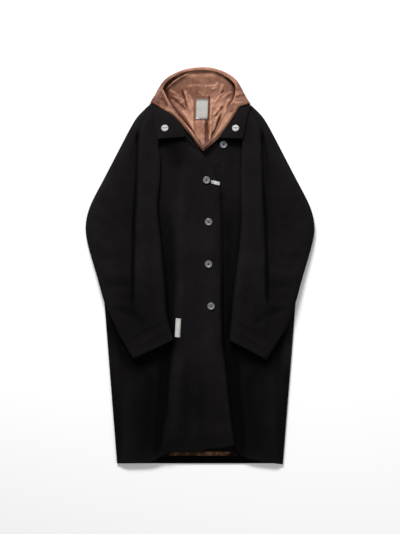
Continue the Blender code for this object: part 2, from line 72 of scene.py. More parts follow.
# Painted light on the nylon: a painted highlight, a painted near-black shadow, and the painted
# shade of the hood's and the lining's grooves.
NYLON_HIGHLIGHT = (0.52, 0.28, 0.19)
NYLON_SHADOW = (0.005, 0.003, 0.003)
HOOD_GROOVE_SHADE = (0.07, 0.019, 0.009)
LINING_GROOVE_SHADE = (0.03, 0.017, 0.0065)
HORN_STOPS = [(0.3, (0.085, 0.085, 0.092)), (0.55, (0.15, 0.15, 0.158)),
              (0.8, (0.24, 0.24, 0.245))]
TAPES = {"white_woven_tape": [(0.52, 0.52, 0.5), (0.34, 0.34, 0.33)],  # clean, worn
         "greyish_woven_tape": [(0.4, 0.385, 0.355), (0.25, 0.245, 0.235)]}
THREADS = {"black_thread": [(0.0028, 0.0027, 0.003), (0.009, 0.0084, 0.0088)],  # dark, light
           "white_thread": [(0.4, 0.4, 0.39), (0.62, 0.62, 0.6)],
           "copper_thread": [(0.1, 0.04, 0.025), (0.22, 0.1, 0.06)]}


# ---------- camera, light and floor
def add_object(name, data):
    made = bpy.data.objects.new(name, data)
    bpy.context.scene.collection.objects.link(made)
    return made


def make_camera():
    camera = add_object("camera", bpy.data.cameras.new("camera"))
    camera.data.lens = LENS
    camera.data.sensor_width = SENSOR
    height = PHOTO_HIGH * PIXEL * LENS / SENSOR
    camera.location = (0, -VIEW_DROP, height + COAT_PLANE)
    bpy.context.scene.camera = camera


def make_light():
    world = bpy.data.worlds.new("soft_room")
    world.use_nodes = True
    room = world.node_tree.nodes["Background"]
    room.inputs["Color"].default_value = (1, 1, 1, 1)
    room.inputs["Strength"].default_value = ROOM_STRENGTH
    bpy.context.scene.world = world
    bpy.context.scene.view_settings.view_transform = "Standard"
    for name, place, faced, sides, power in LIGHTS:
        light = bpy.data.lights.new(name, "AREA")
        light.shape = "RECTANGLE"
        light.size, light.size_y = sides
        light.energy = power
        lamp = add_object(name, light)
        lamp.location = place
        lamp.rotation_euler = (Vector(faced) - Vector(place)).to_track_quat("-Z", "Y").to_euler()


def make_floor():
    bm = bmesh.new()
    bmesh.ops.create_grid(bm, x_segments=2, y_segments=2, size=FLOOR_REACH)
    bmesh.ops.translate(bm, verts=bm.verts, vec=(0, 0, -FLOOR_DROP))
    floor = mesh_object("floor", bm)
    finish = Finish("pale_floor")
    finish.shade(opaque(FLOOR_COLOUR), 0.9)
    floor.data.materials.append(finish.material)


# ---------- materials
class Value:
    """A shader socket that arithmetic works on: each operator adds its Math node."""

    def __init__(self, finish, socket):
        self.finish, self.socket = finish, socket

    def math(self, operation, *values):
        return self.finish.node("ShaderNodeMath", {"operation": operation}, dict(enumerate(values)))

    def __add__(self, other):
        return self.math("ADD", self, other)

    def __rsub__(self, other):
        return self.math("SUBTRACT", other, self)

    def __mul__(self, other):
        return self.math("MULTIPLY", self, other)

    __radd__ = __add__
    __rmul__ = __mul__

    def between(self, low, high):
        """0 below low, 1 above high, smooth between."""
        return self.finish.node("ShaderNodeMapRange", {"interpolation_type": "SMOOTHSTEP"},
                                {"Value": self, "From Min": low, "From Max": high})


def opaque(colour):
    """A colour with its alpha; one that comes from a socket stays as it is."""
    return colour if isinstance(colour, Value) else (*colour, 1)


class Finish:
    """A material and the one way that its nodes are made."""

    def __init__(self, name):
        self.material = bpy.data.materials.new(name)
        self.material.use_nodes = True
        self.tree = self.material.node_tree
        self.shader = self.tree.nodes["Principled BSDF"]

    def node(self, kind, settings, inputs, out=0):
        made = self.tree.nodes.new(kind)
        for key, value in settings.items():
            if key == "stops":
                ramp = made.color_ramp
                while len(ramp.elements) < len(value):
                    ramp.elements.new(0.5)
                for stop, (place, colour) in zip(ramp.elements, value):
                    stop.position, stop.color = place, opaque(colour)
            else:
                setattr(made, key, value)
        for key, value in inputs.items():
            self.join(made.inputs[key], value)
        return Value(self, made.outputs[out])

    def join(self, socket, value):
        if isinstance(value, Value):
            self.tree.links.new(value.socket, socket)
        elif value is not None:
            socket.default_value = value

    def place(self, scale=(1, 1, 1), turn=0):
        spot = self.node("ShaderNodeTexCoord", {}, {}, "Object")
        return self.node("ShaderNodeMapping", {},
                         {"Vector": spot, "Rotation": (0, 0, turn), "Scale": scale})

    def cloud(self, place, scale, detail, rough=0.5, distortion=0):
        return self.node("ShaderNodeTexNoise", {}, {
            "Vector": place, "Scale": scale, "Detail": detail, "Roughness": rough,
            "Distortion": distortion})

    def bands(self, direction, place, scale, distortion, detail_scale=1):
        return self.node("ShaderNodeTexWave", {"wave_type": "BANDS", "bands_direction": direction},
                         {"Vector": place, "Scale": scale, "Distortion": distortion,
                          "Detail Scale": detail_scale})

    def ramp(self, factor, stops):
        return self.node("ShaderNodeValToRGB", {"stops": stops}, {0: factor})

    def blend(self, factor, a, b):
        return self.node("ShaderNodeMix", {"data_type": "RGBA"},
                         {0: factor, 6: opaque(a), 7: opaque(b)}, 2)

    def shelter(self):
        """The shade painted into the cloth's colour, which the points carry: 0 none, 1 full."""
        return self.node("ShaderNodeAttribute", {"attribute_name": "shelter"}, {}, "Fac")

    def raise_by(self, height, distance, strength, under=None):
        return self.node("ShaderNodeBump", {}, {
            "Strength": strength, "Distance": distance, "Height": height, "Normal": under})

    def shade(self, base, roughness, normal=None, specular=0.5, sheen=0, sheen_rough=0.5,
              coat=0):
        for key, value in {
                "Base Color": base, "Roughness": roughness, "Normal": normal,
                "Specular IOR Level": specular, "Sheen Weight": sheen,
                "Sheen Roughness": sheen_rough, "Coat Weight": coat}.items():
            self.join(self.shader.inputs[key], value)


def napped_wool(name, seam=False):
    """Black brushed wool: short fibres, clumps of nap, faint lint and slow changes of tone.

    With a seam, a groove runs down the middle, as where a back is sewn from two halves.
    """
    f = Finish(name)
    spot = f.place()
    fibre = f.cloud(f.place((1, 0.45, 1), 0.35), 1500, 4, 0.65)
    clump = f.cloud(spot, 260, 3, 0.6, 0.6)
    slow = f.cloud(spot, 14, 3, 0.55)
    lint = f.cloud(f.place((1, 0.3, 1), 1.1), 700, 2).between(0.7, 0.76)
    wool = f.ramp(fibre * 0.45 + clump * 0.35 + slow * 0.35, WOOL_STOPS)
    # Shade is painted into the colour here: the points' painted-shade value blends the wool towards
    # near-black.
    colour = f.blend(f.shelter(), f.blend(lint * 0.3, wool, WOOL_LINT), WOOL_SHADE)
    bump = f.raise_by(fibre, 0.5 * MM, 0.55, f.raise_by(clump, 1.1 * MM, 0.5))
    if seam:
        across = f.node("ShaderNodeSeparateXYZ", {}, {"Vector": spot})
        away = across.math("ABSOLUTE", across)
        bump = f.raise_by(away.between(0.4 * MM, 2.6 * MM), 1.4 * MM, 0.9, bump)
    f.shade(colour, 1 - fibre * 0.18, bump, specular=0.04)
    return f.material


def copper_nylon(name, specular, groove):
    """Thin copper-brown nylon: a fine plain weave, fine crinkles and a soft sheen."""
    f = Finish(name)
    spot = f.place()
    weave = (f.bands("X", spot, 420, 0.6, 40) + f.bands("Y", spot, 420, 0.6, 40)) * 0.5
    crinkle = f.cloud(f.place((1, 0.55, 1), 0.5), 55, 4, 0.5, 1.2)
    slow = f.cloud(spot, 16, 2)
    nylon = f.ramp(crinkle * 0.5 + slow * 0.4 + weave * 0.1, NYLON_STOPS)
    # Light and shade are painted into the colour: a painted highlight where the painted-shade value
    # is low, painted shade in grooves as it rises, and a painted near-black shadow at its top.
    shelter = f.shelter()
    painted_highlight, painted_shadow = 1 - shelter.between(0, 0.22), shelter.between(0.85, 1)
    colour = f.blend(painted_highlight * 0.3, nylon, NYLON_HIGHLIGHT)
    colour = f.blend(shelter.between(0.1, 0.85), colour, groove)
    colour = f.blend(painted_shadow, colour, NYLON_SHADOW)
    bump = f.raise_by(weave, 0.08 * MM, 0.25, f.raise_by(crinkle, 2.2 * MM, 0.6))
    f.shade(colour, 0.48 + crinkle * 0.16 + painted_shadow * 0.35, bump, specular, sheen=0.03,
            sheen_rough=0.35)
    return f.material


def woven_tape(name, clean, worn):
    """Bare woven tape: fine ribs across, a little soiling."""
    f = Finish(name)
    spot = f.place()
    rib = f.bands("Y", spot, 300, 0.3, 30)
    thread = f.cloud(f.place((0.25, 1, 1)), 900, 2)
    soil = f.cloud(spot, 60, 2).between(0.45, 0.75)
    bump = f.raise_by(rib * 0.6 + thread * 0.4, 0.25 * MM, 0.6)
    f.shade(f.blend(soil * 0.4 + thread * 0.25, clean, worn), 0.62 + thread * 0.2, bump, sheen=0.1)
    return f.material


def grey_horn():
    """Grey four-hole buttons of cast plastic with a faint horn-like cloud."""
    f = Finish("grey_horn_button")
    swirl = f.cloud(f.place((1, 0.4, 1), 0.7), 220, 3, 0.55, 1.5)
    scuff = f.cloud(f.place(), 1400, 2)
    bump = f.raise_by(scuff, 0.05 * MM, 0.3)
    f.shade(f.ramp(swirl, HORN_STOPS), 0.34 + scuff * 0.2, bump, coat=0.15)
    return f.material


def sewing_thread(name, dark, light):
    """Twisted thread: short slanted bands of two tones."""
    f = Finish(name)
    twist = f.bands("DIAGONAL", f.place(), 700, 0.4)
    bump = f.raise_by(twist, 0.12 * MM, 0.6)
    f.shade(f.blend(twist, dark, light), 0.55 + twist * 0.2, bump, specular=0.12)
    return f.material


# ---------- building
WELD = 0.02 * MM  # points nearer than this are one
RIM_ANGLE = math.radians(64)  # an edge that turns further stays sharp
PAIR_ANGLE = math.radians(40)  # triangles that turn less join into a four-sided face
PAIR_SHAPE = math.radians(60)  # whose corners may be this far from square


def mesh_object(name, bm):
    mesh = bpy.data.meshes.new(name)
    bm.to_mesh(mesh)
    bm.free()
    mesh.shade_smooth()
    return add_object(name, mesh)


def hand_in(piece, slot, material, *nodes):
    piece.data.materials.clear()
    piece.data.materials.append(material)
    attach(piece, "root")
    if nodes:
        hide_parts(*nodes)
    return piece


def apply_modifiers(piece):
    """Bake the piece's modifiers into its mesh."""
    bpy.context.view_layer.update()
    shown = piece.evaluated_get(bpy.context.evaluated_depsgraph_get())
    done = bpy.data.meshes.new_from_object(shown)
    piece.modifiers.clear()
    piece.data = done
    done.name = piece.name
    done.shade_smooth()


def shell_from(name, node, levels):
    """A fine shell on a node's form: its mesh welded and subdivided, its cut edges kept."""
    bm = bmesh.new()
    bm.from_mesh(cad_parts[node].data)
    bmesh.ops.remove_doubles(bm, verts=bm.verts, dist=WELD)
    bmesh.ops.join_triangles(bm, faces=bm.faces, angle_face_threshold=PAIR_ANGLE,
                             angle_shape_threshold=PAIR_SHAPE)
    crease = bm.edges.layers.float.new("crease_edge")
    for edge in bm.edges:
        if len(edge.link_faces) == 2 and edge.calc_face_angle(0) > RIM_ANGLE:
            edge[crease] = 1
    shell = mesh_object(name, bm)
    finer = shell.modifiers.new("finer", "SUBSURF")
    finer.levels = finer.render_levels = levels
    apply_modifiers(shell)
    return shell


def points_of(piece):
    flat = np.empty(len(piece.data.vertices) * 3)
    piece.data.vertices.foreach_get("co", flat)
    return flat.reshape(-1, 3)


def set_points(piece, points):
    piece.data.vertices.foreach_set("co", points.reshape(-1))
    piece.data.update()


def move(piece, change):
    """Move points by change(x, y, z), their three shifts; both faces of a sheet go together."""
    points = points_of(piece)
    for axis, shift in enumerate(change(*(points / MM).T)):
        points[:, axis] += shift * MM
    set_points(piece, points)


def smooth01(t):
    t = np.clip(t, 0, 1)
    return t * t * (3 - 2 * t)


def eased(value, zero, one):
    """0 where value is at zero or short of it, 1 at one and past it, smooth between."""
    return smooth01((value - zero) / (one - zero))


FOLD_TAPER = 0.22  # share of a fold's length over which each end dies away
CREASE_ROUND = 0.12  # how blunt a crisp fold's top is
CREASE_STEEP = 1.6


def fold_heights(x, y, folds, crisp=False):
    """Sum of folds at places x, y in millimetres: soft as wool's, or crisp as thin nylon's.

    A row is: start x, y, end x, y, breadth, height (a trough's is negative), bow of its middle to
    its left, and how much steeper its left side is than its right.
    """
    total = np.zeros_like(x)
    for ax, ay, bx, by, breadth, height, bow, lean in folds:
        length = math.hypot(bx - ax, by - ay)
        ux, uy = (bx - ax) / length, (by - ay) / length
        along = ((x - ax) * ux + (y - ay) * uy) / length
        aside = (y - ay) * ux - (x - ax) * uy - bow * 4 * along * (1 - along)
        slope = aside / (breadth * np.where(aside > 0, 1 - lean, 1 + lean))
        if crisp:
            form = np.exp(CREASE_ROUND - np.sqrt(slope ** 2 * CREASE_STEEP + CREASE_ROUND ** 2))
        else:
            form = np.exp(-slope ** 2)
        ends = eased(along, 0, FOLD_TAPER) * eased(along, 1, 1 - FOLD_TAPER)
        total += height * ends * form
    return total


def spline(values, at):
    """A smooth curve through evenly spaced values, read at the places at."""
    last = len(values) - 1
    i = np.clip(np.floor(at).astype(int), 0, last - 1)
    t = at - i
    before, after = values[np.maximum(i - 1, 0)], values[np.minimum(i + 2, last)]
    a, b = values[i], values[i + 1]
    pull_a, pull_b = (b - before) * 0.5, (after - a) * 0.5
    return (a * (2 * t ** 3 - 3 * t ** 2 + 1) + pull_a * (t ** 3 - 2 * t ** 2 + t)
            + b * (3 * t ** 2 - 2 * t ** 3) + pull_b * (t ** 3 - t ** 2))


def waviness(x, y, size, seed):
    """Slow uneven swell of the cloth, between -1 and 1."""
    return (np.sin(x / size + seed + 1.3 * np.sin(y / (size * 1.7) + seed * 2.1))
            * np.sin(y / (size * 1.4) - seed * 1.7 + 1.1 * np.sin(x / (size * 1.3) + seed)))


# ---------- folds, as rows for fold_heights
FRONT_RIGHT_FOLDS = [
    (-103, 190, -92, -60, 13, -4, 2, 0), (-90, 40, -104, -340, 13, -6, 4, 0),
    (-98, -240, -136, -600, 14, -6, 3, 0), (-54, 398, 12, 338, 5, 3, 0, 0),
    (-58, 386, 2, 332, 5, -2.5, 0, 0), (-70, 330, -88, 150, 15, -3, 6, 0.2),
    (-30, 345, -52, 120, 16, 2.2, -5, 0), (-46, 320, 26, 240, 11, -1.8, 5, 0.1),
    (10, 330, 30, 268, 8, -2, 3, 0.1), (-12, 250, -52, 60, 14, -1.8, 4, 0.2),
    (13, 244, 11, 150, 6, -1.8, 1, 0.2), (40, 190, 30, 20, 12, 1.2, 3, 0),
    (-44, 40, -52, -250, 13, -1.8, 5, 0.1), (10, -20, -4, -300, 16, -1.6, -8, 0),
    (52, -10, 60, -280, 10, 1.5, 3, 0.1), (-60, -240, -84, -540, 16, 2.2, 5, 0.1),
    (-30, -260, -38, -548, 18, -2.6, -6, 0.1), (24, -300, 34, -550, 15, 1.8, 5, 0),
    (72, -320, 88, -548, 12, -2, -4, 0.1), (2, -340, -4, -552, 13, -1.2, 4, 0),
    (-150, -290, -170, -585, 20, -2.6, 5, 0.1), (-205, -270, -214, -590, 19, 2.2, -6, 0.1),
    (-235, -170, -246, -560, 11, -1.6, 3, 0), (-128, -300, -146, -590, 13, 1.8, 4, 0.1),
    (-268, -150, -250, -420, 10, 1.3, 3, 0), (-180, -300, -130, -390, 14, -1.8, 5, 0.1),
]
FRONT_LEFT_FOLDS = [
    (94, 200, 86, -60, 12, -4, -2, 0), (84, 40, 102, -340, 13, -6, -4, 0),
    (94, -240, 132, -600, 14, -6, -3, 0), (60, 350, 44, 240, 12, -2.4, 8, 0.1),
    (88, 350, 104, 150, 14, -1.6, 4, 0.1), (34, 290, 66, 316, 5, 2.8, 6, 0.2),
    (46, 268, 80, 300, 8, -2, 6, 0.2), (96, -60, 84, -260, 12, 1.4, 4, 0),
    (150, -300, 172, -585, 20, -2.4, -5, 0.1), (205, -280, 212, -590, 19, 2.2, 6, 0.1),
    (236, -190, 242, -560, 11, -1.6, -3, 0), (128, -310, 146, -590, 13, 1.6, -4, 0.1),
    (268, -160, 250, -430, 10, 1.3, -3, 0), (180, -300, 140, -400, 14, -1.8, -5, 0.1),
]
# For the sleeve on the viewer's right, and mirrored for the other.
SLEEVE_FOLDS = [
    (186, 430, 198, 130, 5, -8, -2, 0.2), (196, 200, 202, -128, 5, -7, 2, 0.2),
    (200, 420, 262, 250, 13, -1.8, 8, 0.1), (230, 380, 320, 190, 15, 1.8, -6, 0),
    (150, 360, 158, 170, 12, -1.6, -5, 0.1), (178, 340, 170, 60, 11, 1.6, 4, 0.1),
    (140, 240, 144, 20, 10, -1.4, 4, 0), (318, 150, 262, 90, 15, -2.4, -6, 0.2),
    (332, 90, 250, 20, 14, 2, -8, 0.1), (316, 20, 232, 40, 13, -2.6, 7, 0.2),
    (300, -30, 205, -8, 12, 1.8, 6, 0.1), (292, -70, 190, -60, 12, -2.8, -6, 0.2),
    (280, -110, 175, -112, 13, 1.8, 5, 0.1), (262, -130, 160, -176, 11, -2.4, -6, 0.2),
    (150, 10, 128, -140, 12, -1.8, 4, 0.1), (180, -60, 140, -205, 13, 1.5, -5, 0),
    (230, -180, 205, -255, 12, -1.6, 4, 0), (170, -150, 160, -235, 11, -1.4, 3, 0),
    (300, 210, 240, 130, 12, -1.4, 6, 0.1), (200, 130, 190, -40, 14, 1.2, 5, 0),
    (88, -186, 206, -248, 5, 1.6, 3, 0), (94, -168, 220, -228, 4, -1.4, 4, 0),
]
COLLAR_FOLDS = [
    (-58, 402, -118, 396, 8, 1, 3, 0), (-72, 430, -126, 424, 9, -1, -4, 0),
    (-100, 452, -112, 396, 7, 0.9, 3, 0), (72, 400, 122, 398, 8, 1, -3, 0),
    (96, 424, 130, 420, 8, -1, 3, 0), (112, 440, 110, 394, 7, 0.9, -3, 0),
]
LINING_FOLDS = [
    (-70, -566, -62, -512, 6, 3, 3, 0.1), (-40, -566, -48, -510, 5, 2.4, -3, 0.1),
    (-8, -566, 2, -508, 6, 3.4, 3, 0.1), (22, -566, 14, -510, 5, 3, -2, 0.1),
    (44, -566, 56, -508, 6, 3.2, 3, 0.1), (74, -566, 70, -510, 5, 2.6, -3, 0.1),
    (-96, -566, -88, -512, 5, 2.6, 3, 0.1), (96, -566, 88, -512, 5, 2.8, 3, 0.1),
    (-90, -548, -20, -556, 4, 1.6, 3, 0), (0, -556, 84, -546, 4, 1.8, 3, 0),
]
# Ridges and grooves inside the hood, which gathers towards the foot of the neck.
HOOD_FOLDS = [
    (-12, 382, -78, 478, 3.5, -3, -2, 0), (2, 362, -58, 474, 6, 6.5, -3, 0.3),
    (-78, 502, -38, 464, 5, -3, 2, 0.1), (-48, 532, -30, 458, 5, 5, 1, -0.4),
    (-57, 534, -38, 472, 3, -3, 1, 0), (-22, 506, -19, 374, 5.5, 5, 0, 0.5),
    (27, 514, 26, 438, 3.8, -3.4, 0, 0), (20, 442, 20, 366, 5, -3.6, 0, 0.1),
    (20, 424, 21, 372, 3.5, -2, 0, 0), (38, 508, 30, 432, 6.5, 5, 2, 0.3),
    (33, 442, 28, 362, 5, 8, 0, -0.2), (33, 428, 26, 394, 2.8, -3.5, 0, 0),
    (66, 462, 34, 380, 3.6, -5, 0, 0.1), (72, 482, 44, 444, 4, -2.6, 1, 0),
    (68, 490, 38, 448, 5, 5, 2, 0.1), (62, 474, 39, 396, 4, 5, -1, -0.2),
    (84, 484, 42, 384, 5, 7, 1, -0.3), (72, 444, 45, 392, 2.6, -3.2, 0, 0),
    (92, 508, 62, 428, 4, 4.5, -2, 0.2), (56, 556, 34, 528, 4, 2.6, 2, 0.1),
    (72, 550, 58, 506, 4, 3.2, -2, 0.2), (74, 530, 52, 510, 3, -2.6, 1, 0),
    (64, 520, 48, 494, 4, 3, 1, 0.1), (98, 524, 66, 500, 4, 3, -2, 0.1),
    (-98, 530, -58, 506, 5, 2.6, 3, 0.1), (-82, 514, -50, 500, 3.5, 2.6, -2, 0.1),
    (-94, 508, -64, 490, 3.5, -2.2, 2, 0), (8, 541, 62, 546, 4, 2, -2, 0.2),
    (-46, 538, 10, 542, 4, 1.6, 2, 0.2), (-36, 520, -16, 470, 3.5, 3, 2, 0.1),
    (-6, 524, 14, 510, 4, 2, 1, 0.1), (34, 530, 56, 540, 4, 2.2, -2, 0.1),
    (46, 500, 40, 470, 3, 2.6, 1, 0.1), (-62, 486, -44, 500, 3, 2.2, 1, 0.1),
    (-34, 444, -14, 398, 3.5, 3, 1, 0.1), (50, 452, 44, 430, 2.6, 3, 1, 0),
]
# A fold that stands just inside the crown's rim, on the viewer's left.
CROWN_FOLD = (-110, 524, -26, 580, 4, 7, 7, 0.2)
# On the flaps that turn over towards the face opening.
FLAP_FOLDS = [
    (100, 500, 142, 512, 3.2, -2.8, 2, 0.2), (102, 508, 140, 519, 3, 2.4, 2, -0.2),
    (98, 486, 138, 492, 4, 2.2, -2, 0.1), (34, 370, 108, 468, 3.5, -2.6, -3, 0.1),
    (48, 380, 104, 448, 3.5, 2.2, 3, 0), (84, 456, 128, 474, 3.5, -2.4, 2, 0.1),
    (96, 520, 128, 530, 3.5, -2.4, 2, 0.1), (-124, 522, -96, 470, 5, -2.4, 4, 0.1),
    (-142, 494, -72, 456, 4.5, 2, -3, 0), (-72, 447, -16, 390, 2.4, 2.6, 1, 0),
    (-66, 449, -22, 404, 2, -2.6, 1, 0), (-128, 502, -104, 490, 3.5, -2, 2, 0.1),
    (-122, 548, -100, 540, 3.5, -1.8, 2, 0), (-60, 588, -20, 588, 2.6, 1.6, 2, 0),
    (20, 590, 66, 580, 2.6, 1.6, 2, 0),
]

# The hood seen from above, from the foot of the neck opening round by the viewer's left.
# Columns: outline x, y, rim x, y, height of the top.
HOOD_ROWS = [
    (9, 344, 9, 353, 45), (-8, 363, -3, 366, 46), (-26, 388, -19, 386, 47),
    (-46, 410, -36, 410, 47.5), (-64, 430, -51, 433, 48), (-88, 452.5, -69, 455, 48.5),
    (-112, 465.5, -82, 474, 49), (-132, 478, -90, 486, 50), (-147, 487, -97, 498, 50),
    (-145, 496, -102, 510, 48), (-134, 514, -108, 523, 42), (-121, 538, -112, 533, 34),
    (-105, 559, -99, 552, 27), (-80, 576, -77, 569, 22), (-45, 590, -44, 583, 19),
    (-8, 596, -8, 588, 18), (28, 596, 27, 587.5, 18), (60, 588, 58, 580, 19),
    (86, 576, 81, 567, 22), (108, 559, 100, 550, 27), (120, 541, 107, 535, 34),
    (132, 518, 106, 519, 42), (142, 500, 102, 503, 48), (149, 487, 97, 492, 50),
    (137, 481.5, 90, 482, 50), (122, 476.5, 84, 474, 49.5), (112, 461, 74, 458, 48.5),
    (94, 433, 62, 436, 48), (76, 408, 52, 414, 48), (57, 385, 40, 392, 47.5),
    (31, 362, 26, 368, 46), (9, 344, 9, 353, 45),
]
HOOD_MIDDLE = (9, 475)
HOOD_FOOT = 0.5  # share of the way out where the wall starts
HOOD_BEND = 0.74  # and where it has turned over
HOOD_ROUND = 12  # radius of the wall's bend, where its height leaves room for it
HOOD_WALL = 1 * MM
HOOD_AROUND = 7  # steps of the grid from one row to the next
HOOD_OUT = 112  # and from the middle out to the rim
HOOD_UNDER = 0.45  # the flap's finish starts this far up the wall's bend

SWELL = 0.7  # slow unevenness of the wool


# ---------- pieces of cloth
def make_back(wool):
    back = shell_from("back_panel", "back", 4)

    def reach_under(x, y, z):
        """Take the neck's corners further under the sleeves, so that no floor shows."""
        wide = np.abs(x)
        corner = eased(wide, 84, 94) * eased(wide, 140, 130)
        out = 7 * np.sign(x) * corner * eased(wide, 96, 106) * eased(y, 425, 439)
        return out, 11 * corner * eased(y, 436, 450), 0

    move(back, reach_under)
    hand_in(back, "wool", wool, "back")
    return back


def make_front_right(wool):
    front = shell_from("front_panel_right", "front_right", 3)

    def crease(x, y, z):
        swell = fold_heights(x, y, FRONT_RIGHT_FOLDS) + SWELL * waviness(x, y, 34, 1.3)
        hem_drop = 6.5 * eased(y, -526, -544) * eased(x, 34, -6) * eased(x, -112, -94)
        return 0, -hem_drop, swell * eased(z, 6, 14)

    move(front, crease)
    hand_in(front, "wool", wool, "front_right")
    return front


def make_front_left(wool):
    front = shell_from("front_panel_left", "front_left", 3)

    def crease(x, y, z):
        shown = smooth01((x - 60) / 40 + eased(y, 240, 260))
        swell = fold_heights(x, y, FRONT_LEFT_FOLDS) + SWELL * waviness(x, y, 36, 2.2)
        return 0, 0, swell * eased(z, 6, 12) * shown

    move(front, crease)
    hand_in(front, "wool", wool, "front_left")
    return front


def make_sleeve(side, sign, wool):
    sleeve = shell_from(f"sleeve_{side}_shell", f"sleeve_{side}", 3)

    def crease(x, y, z):
        """Folds on the top layer; the under one's neck end goes up to the back's."""
        swell = fold_heights(x * sign, y, SLEEVE_FOLDS) + SWELL * waviness(x, y, 30, 3 + sign)
        neck = 12 * (z < 12) * eased(y, 428, 442) * eased(np.abs(x), 152, 138)
        return 0, neck, swell * eased(z, 21, 27)

    move(sleeve, crease)
    hand_in(sleeve, "wool", wool, f"sleeve_{side}")
    return sleeve


def make_collar(wool):
    leaves = []
    for side, cut in (("right", 0.0062), ("left", 0.0045)):
        leaf = shell_from(f"collar_leaf_{side}", f"collar_{side}", 3)
        move(leaf, lambda x, y, z: (
            0, 3 * eased(y, 464, 478), np.maximum(fold_heights(x, y, COLLAR_FOLDS), -0.3)))
        hand_in(leaf, "wool", wool, f"collar_{side}")
        leaves.append(leaf)
    band = shell_from("collar_band", "collar_back", 3)
    hand_in(band, "wool", wool, "collar_back")
    return leaves


def crumple(x, y, size):
    """Small facets of crushed nylon, 0 to 1: straight creases in four directions, wavered."""
    total = np.zeros_like(x)
    for turn, seed in ((0.35, 1), (1.25, 2.3), (2.1, 3.7), (2.75, 5.1)):
        along = x * math.cos(turn) + y * math.sin(turn)
        waver = 0.55 * waviness(x, y, size * 1.6, seed)
        total += 1 - np.abs(((along / size + waver + seed) % 2) - 1) ** 0.8
    return total / 4


def hood_floor_height(y):
    """Height of the hood's inside along its middle: puffed at the crown, up to the neck's foot."""
    return 5.6 + 5 * eased(y, 500, 540) * eased(y, 600, 580) + 23 * eased(y, 402, 344)


def lay_hood(row, out):
    """The hood laid open, at places row of the table and out from the middle, 0, to the rim, 1.

    Gives x, y, z, the height of the wall's foot, the turn of its bend and the share of the flap.
    """
    outline_x, outline_y, rim_x, rim_y, top = (
        spline(column, row) for column in np.array(HOOD_ROWS, dtype=float).T)
    cx, cy = HOOD_MIDDLE
    reach = np.hypot(outline_x - cx, outline_y - cy)
    ray_x, ray_y = (outline_x - cx) / reach, (outline_y - cy) / reach
    bend = np.minimum(HOOD_ROUND, (top - hood_floor_height(outline_y)) / 2)
    inner = reach - bend
    foot = hood_floor_height(cy + ray_y * inner)
    turn = np.clip((out - HOOD_FOOT) / (HOOD_BEND - HOOD_FOOT), 0, 1) * math.pi
    flap = np.clip((out - HOOD_BEND) / (1 - HOOD_BEND), 0, 1)
    on_wall = out > HOOD_FOOT
    r = np.where(on_wall, inner + bend * np.sin(turn), inner * out / HOOD_FOOT)
    wall = foot + bend + (top - foot - 2 * bend) * smooth01(turn / math.pi) - bend * np.cos(turn)
    z = np.where(on_wall, wall, hood_floor_height(cy + ray_y * r))
    x, y = cx + ray_x * r, cy + ray_y * r
    x, y = x + (rim_x - x) * flap, y + (rim_y - y) * flap
    rolled_rim = 2.2 * np.exp(-((flap - 1) / 0.16) ** 2) * (flap > 0)
    return x, y, z + rolled_rim - 1.4 * np.sin(math.pi * flap), foot, turn, flap


def off_box(x, y, middle, half, fade):
    """0 on a box, 1 from fade outside it, all in millimetres."""
    return eased(np.maximum(np.abs(x - middle[0]) - half[0], np.abs(y - middle[1]) - half[1]),
                 0, fade)


def crease_hood(x, y, z, foot, flap):
    """Heights with ridges, crushed floor and puckered flap; under the label they stay level."""
    ridges = np.maximum(fold_heights(x, y, HOOD_FOLDS, crisp=True), -3)
    ridges *= off_box(x, y, (6.5, 471.5), (18.5, 31), 4)
    crushed = 2.2 * crumple(x, y, 17) + 1.3 * crumple(y, x, 8.5)
    crushed *= (0.2 + 0.8 * eased(y, 540, 490)) * off_box(x, y, (5, 472), (20, 34), 6)
    inside = eased(y, 352, 392) * (ridges + crushed)
    inside += np.maximum(fold_heights(x, y, [CROWN_FOLD], crisp=True), 0)
    inside += eased(y, 545, 565) * (1.2 + 1.6 * waviness(x, y, 11, 0.6))
    puckers = fold_heights(x, y, FLAP_FOLDS, crisp=True)
    puckers += 1.5 * crumple(x, y, 15) + 0.6 * crumple(y, x, 7)
    return z + inside * eased(z - foot, 16, 2) + puckers * eased(flap, 0, 0.3)


def make_hood(nylon):
    """The hood, whose flap attribute says how far over its flap each point lies."""
    rows = len(HOOD_ROWS) - 1
    bm = bmesh.new()
    bmesh.ops.create_grid(bm, x_segments=HOOD_AROUND * rows, y_segments=HOOD_OUT, size=0.5)
    grid = np.array([v.co[:] for v in bm.verts]) + 0.5
    x, y, z, foot, turn, flap = lay_hood(grid[:, 0] * rows, grid[:, 1])
    z = crease_hood(x, y, z, foot, flap)
    layer = bm.verts.layers.float.new("flap")
    shares = np.where(turn > math.pi * HOOD_UNDER, np.maximum(flap, 0.05), 0)
    for vert, place, share in zip(bm.verts, np.stack([x, y, z], axis=1) * MM, shares):
        vert.co = place
        vert[layer] = share
    bmesh.ops.remove_doubles(bm, verts=bm.verts, dist=0.05 * MM)
    hood = mesh_object("hood_shell", bm)
    thick = hood.modifiers.new("wall", "SOLIDIFY")
    thick.thickness, thick.offset = HOOD_WALL, 0
    apply_modifiers(hood)
    hand_in(hood, "nylon", nylon, "hood")
    return hood


def make_lining(nylon):
    strip = shell_from("hem_lining", "lining_hem", 6)
    move(strip, lambda x, y, z: (0, 0, np.maximum(
        fold_heights(x, y, LINING_FOLDS, crisp=True), 0)))
    hand_in(strip, "nylon", nylon, "lining_hem")
    return strip


